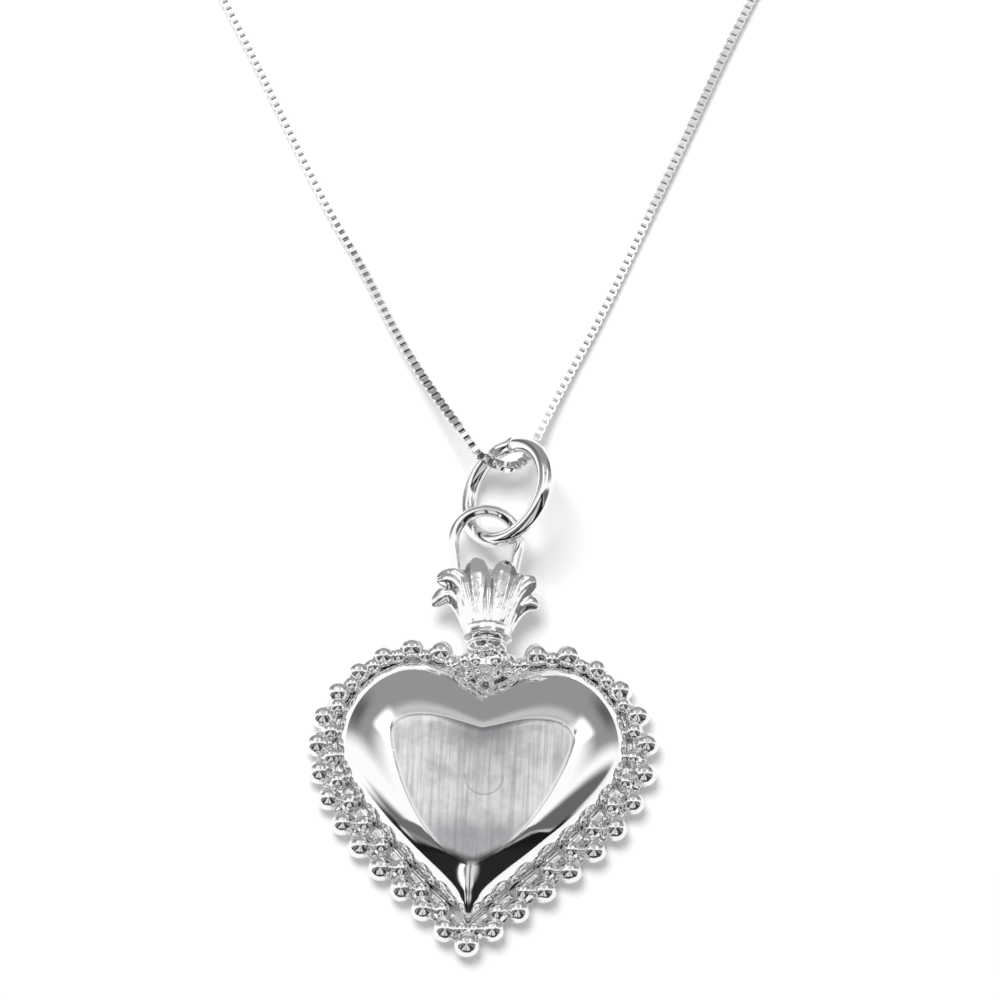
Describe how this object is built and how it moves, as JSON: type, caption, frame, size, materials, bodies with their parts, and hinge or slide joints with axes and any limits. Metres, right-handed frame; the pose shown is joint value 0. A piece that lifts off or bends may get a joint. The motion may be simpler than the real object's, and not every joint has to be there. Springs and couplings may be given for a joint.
{
  "type": "heart pendant necklace",
  "caption": "Sacred heart pendant with a beaded cast border, brushed domed front, flame finial and swinging jump ring, threaded on a fine box chain with a spring gate catch.",
  "frame": {"origin": "middle of the heart's flat back, on the table", "axes": "+Y from the heart's tip through the flame finial to the jump ring and the chain, +Z out of the heart's front"},
  "size_m": [0.0533, 0.1, 0.0067],
  "materials": {
    "polished_silver": "polished silver",
    "brushed_silver": "polished silver with a brushed flat",
    "cast_silver": "polished casting",
    "chain_silver": "polished silver links",
    "spring_steel": "plain spring wire"
  },
  "bodies": {
    "pendant": {"back_plate": "polished_silver", "dome_front": "brushed_silver", "beaded_frame": "cast_silver", "flame_finial": "cast_silver", "fixed_loop": "polished_silver", "chain_left_run": "chain_silver", "chain_left_coil": "chain_silver", "chain_left_tail": "chain_silver", "chain_right_run": "chain_silver", "chain_right_coil": "chain_silver", "chain_right_tail": "chain_silver", "clasp_body": "polished_silver", "clasp_spring": "spring_steel", "end_ring": "polished_silver"},
    "loose_ring": {"jump_ring": "polished_silver"},
    "gate": {"clasp_gate": "polished_silver"}
  },
  "joints": [
    {"name": "ring_rock", "type": "hinge", "parent": "pendant", "child": "loose_ring", "pos_m": [-0.0018, 0.024, 0.0015], "axis": [-0.1736, 0.9848, 0], "range_deg": [-75, 0], "deforming": ["chain_left_run", "chain_right_run"]},
    {"name": "gate_slide", "type": "hinge", "parent": "pendant", "child": "gate", "pos_m": [-0.01343, 0.08385, 0.00055], "axis": [0, 0, 1], "range_deg": [0, 50], "stiffness_Nm_per_rad": 0.0001, "springref_deg": -17.19, "deforming": ["clasp_spring"]}
  ]
}
